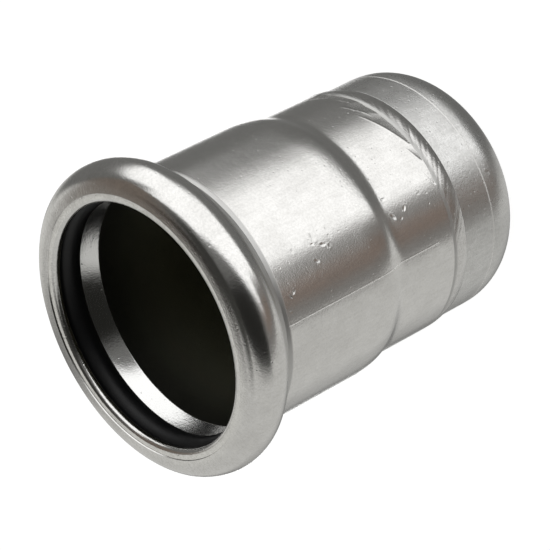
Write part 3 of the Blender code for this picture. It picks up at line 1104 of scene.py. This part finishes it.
SOFT_PANEL = build_panel()
print("group", SOFT_PANEL.name, "ready")

# %% [markdown]
# The tent starts as one even grey, and the panels are laid over it in the order of the table, so a later
# one covers an earlier one. The window is brighter than white, because steel gives back only about two
# thirds of the light. The camera itself sees plain white.

# %% Paint the tent
TENT_LEVEL = (0.19, 0.19, 0.185)
# name, values in the order of PANEL_LABELS, where those left out are 0, and the colour
PANELS = (
    ("pale_wall", (154, 0, 62, 84, 2.5, 7), (0.71, 0.71, 0.695)),
    ("wall_fade", (122, -36, 18, 22, 14, 8), (0.48, 0.48, 0.47)),
    ("wall_strip", (75, 0, 10, 30, 5, 6), (0.78, 0.78, 0.76)),
    ("brown_corner", (50, 44, 34, 12, 6, 5), (0.21, 0.175, 0.15)),
    ("dark_corner", (85, 57.5, 16, 10.5, 2, 2), (0.03, 0.027, 0.024)),
    ("window_fade", (-50, -28, 32, 19.5, 20, 3.5, 0, 0.08), (1.55, 1.56, 1.57)),
    ("low_gap", (-118, -50, 27, 40, 2.5, 8), (0.245, 0.237, 0.228)),
    ("brown_gap", (-121, -42, 9, 18, 4, 8), (0.25, 0.195, 0.165)),
    ("dark_gap", (-121.5, 30, 31.5, 44, 9, 6), (0.02, 0.02, 0.018)),
    ("window_low", (-64, -30.5, 30.5, 20.5, 7, 3, 0, 0.25), (1.57, 1.58, 1.59)),
    ("window", (-52, 8, 30, 39, 6, 4, 0.9), (1.55, 1.56, 1.57)),
    ("window_side", (-21.5, -4, 38.5, 28, 5, 4), (1.55, 1.56, 1.57)),
    ("shadow_rim", (97, -36, 23, 18, 3, 4), (0.22, 0.22, 0.215)),
    ("background", (88, -33.5, 20, 5.5, 3.5, 2, 0, 0.12), (1.9, 1.9, 1.9)),
    ("low_arc", (90, -55, 8, 7, 4, 4), (0.52, 0.52, 0.51)),
    ("lip_light", (93, 36, 8, 9, 2, 3), (0.87, 0.87, 0.84)),
    ("ceiling", (0, 90, 180, 28, 0.5, 8), (0.05, 0.05, 0.046)),
)


def build_tent():
    world = bpy.data.worlds.new("studio_tent")
    world.use_nodes = True
    tree = world.node_tree
    tree.nodes.clear()
    direction = tree.nodes.new("ShaderNodeTexCoord").outputs["Generated"]
    colour = TENT_LEVEL
    for name, placing, panel_colour in PANELS:
        panel = tree.nodes.new("ShaderNodeGroup")
        panel.name = name
        panel.node_tree = SOFT_PANEL
        tree.links.new(direction, panel.inputs["Vector"])
        for label, value in zip(PANEL_LABELS, placing):
            panel.inputs[label].default_value = value
        colour = mix_colour(tree, panel.outputs["Mask"], colour, panel_colour)
    tent = tree.nodes.new("ShaderNodeBackground")
    tree.links.new(colour, tent.inputs["Color"])
    white = tree.nodes.new("ShaderNodeBackground")
    fill_input(tree, white.inputs["Color"], (1.0, 1.0, 1.0))
    choose = tree.nodes.new("ShaderNodeMixShader")
    tree.links.new(tree.nodes.new("ShaderNodeLightPath").outputs["Is Camera Ray"], choose.inputs["Fac"])
    tree.links.new(tent.outputs["Background"], choose.inputs[1])
    tree.links.new(white.outputs["Background"], choose.inputs[2])
    output = tree.nodes.new("ShaderNodeOutputWorld")
    tree.links.new(choose.outputs["Shader"], output.inputs["Surface"])
    bpy.context.scene.world = world
    return world


print("world", build_tent().name, "has", len(PANELS), "panels")

# %% [markdown]
# ## The floor
#
# The fitting stands on a pale floor. A white floor that is only lit would come out grey beside the white
# background, so this one glows nearly white to the camera and adds its real shading on top. Mirrored rays
# pass it and see the tent, as over a lit glass table.

# %% Lay the floor
FLOOR_HALF_SIZE = 3.0
FLOOR_GLOW = 0.86
FLOOR_SHADE = 0.5


def make_floor_material():
    material = bpy.data.materials.new("pale_floor")
    material.use_nodes = True
    tree = material.node_tree
    tree.nodes.clear()
    paint = tree.nodes.new("ShaderNodeBsdfDiffuse")
    fill_input(tree, paint.inputs["Color"], (FLOOR_SHADE,) * 3)
    glow = tree.nodes.new("ShaderNodeEmission")
    camera_ray = tree.nodes.new("ShaderNodeLightPath").outputs["Is Camera Ray"]
    tree.links.new(math_node(tree, "MULTIPLY", camera_ray, FLOOR_GLOW), glow.inputs["Strength"])
    both = tree.nodes.new("ShaderNodeAddShader")
    tree.links.new(paint.outputs["BSDF"], both.inputs[0])
    tree.links.new(glow.outputs["Emission"], both.inputs[1])
    output = tree.nodes.new("ShaderNodeOutputMaterial")
    tree.links.new(both.outputs["Shader"], output.inputs["Surface"])
    return material


def lay_floor():
    bm = bmesh.new()
    bmesh.ops.create_grid(bm, x_segments=1, y_segments=1, size=FLOOR_HALF_SIZE)
    mesh = bpy.data.meshes.new("floor")
    bm.to_mesh(mesh)
    bm.free()
    mesh.materials.append(make_floor_material())
    floor = bpy.data.objects.new("floor", mesh)
    bpy.context.scene.collection.objects.link(floor)
    floor.visible_glossy = False
    floor.visible_shadow = False
    return floor


print("laid", lay_floor().name)

# %% [markdown]
# ## Finish
#
# The view transform is plain, so a colour renders as it is written.

# %% Set the plain view transform
bpy.context.scene.view_settings.view_transform = "Standard"
